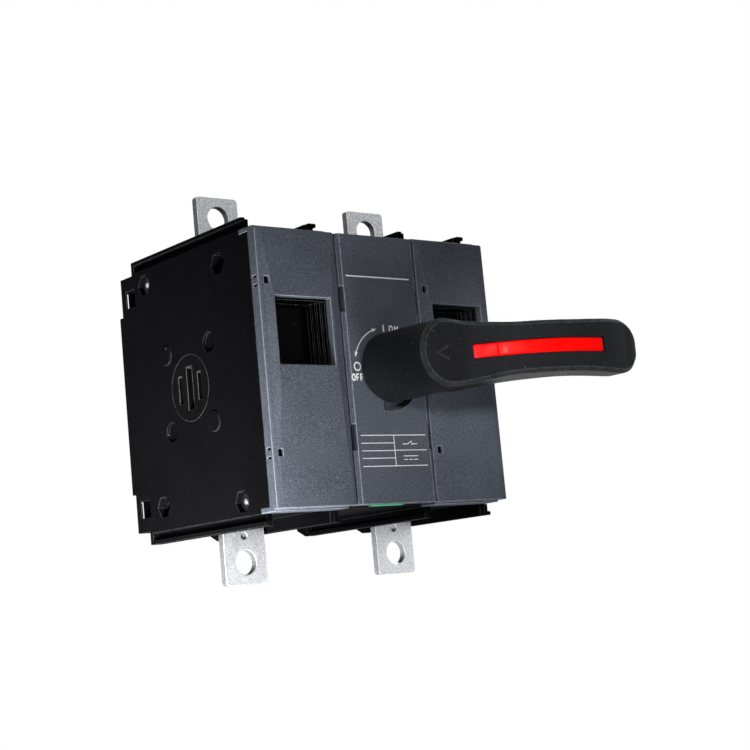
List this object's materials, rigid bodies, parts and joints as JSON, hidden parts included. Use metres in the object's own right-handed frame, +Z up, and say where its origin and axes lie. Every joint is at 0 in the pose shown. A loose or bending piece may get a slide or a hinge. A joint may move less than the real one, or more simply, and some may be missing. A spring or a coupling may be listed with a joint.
{
  "type": "dc isolator switch",
  "caption": "Panel-mounted DC switch disconnector: box housing with pole and mechanism covers, flat terminal bars above and below, and a rotary pistol handle with a coloured insert.",
  "frame": {"origin": "centre of the back mounting plane, at the middle of the width and of the height", "axes": "+X to the right seen from the front, +Y into the mounting panel, so the front faces -Y, +Z up; the handle turns about a line along Y"},
  "size_m": [0.1968, 0.231, 0.222],
  "materials": {
    "black_housing": "moulded black, faint grain",
    "grey_cover": "fine grained blue-grey moulding",
    "window": "polished black",
    "rotor": "moulded black",
    "terminal": "tin-plated copper, satin",
    "fastener": "zinc-plated",
    "shaft": "machined",
    "handle_black": "fine grained black moulding",
    "handle_red": "glossy red",
    "green_strip": "semi-gloss green"
  },
  "bodies": {
    "body": {"left_pole_shell_outer": "black_housing", "left_pole_shell_inner": "black_housing", "right_pole_shell_inner": "black_housing", "right_pole_shell_outer": "black_housing", "mechanism_housing": "black_housing", "left_pole_cover": "grey_cover", "right_pole_cover": "grey_cover", "mechanism_cover": "grey_cover", "shaft_bearing": "grey_cover", "left_window": "window", "right_window": "window", "green_strip": "green_strip", "terminal_upper_left": "terminal", "terminal_lower_left": "terminal", "terminal_upper_right": "terminal", "terminal_lower_right": "terminal", "tie_bolt_left_upper": "fastener", "tie_bolt_left_lower": "fastener", "tie_bolt_right_upper": "fastener", "tie_bolt_right_lower": "fastener", "tie_nut_left_upper": "fastener", "tie_nut_left_lower": "fastener", "tie_nut_right_upper": "fastener", "tie_nut_right_lower": "fastener"},
    "handle": {"handle_body": "handle_black", "handle_insert": "handle_red", "drive_shaft": "shaft"},
    "rotor": {"contact_rotor": "rotor"}
  },
  "joints": [
    {"name": "handle_turn", "type": "hinge", "parent": "body", "child": "handle", "pos_m": [0, -0.1445, 0], "axis": [0, 1, 0], "range_deg": [0, 90]},
    {"name": "rotor_turn", "type": "hinge", "parent": "body", "child": "rotor", "pos_m": [0, -0.07, 0], "axis": [1, 0, 0], "range_deg": [0, 61]}
  ],
  "couplings": [
    {"joint": "rotor_turn", "follows": "handle_turn", "ratio": 0.6667}
  ]
}
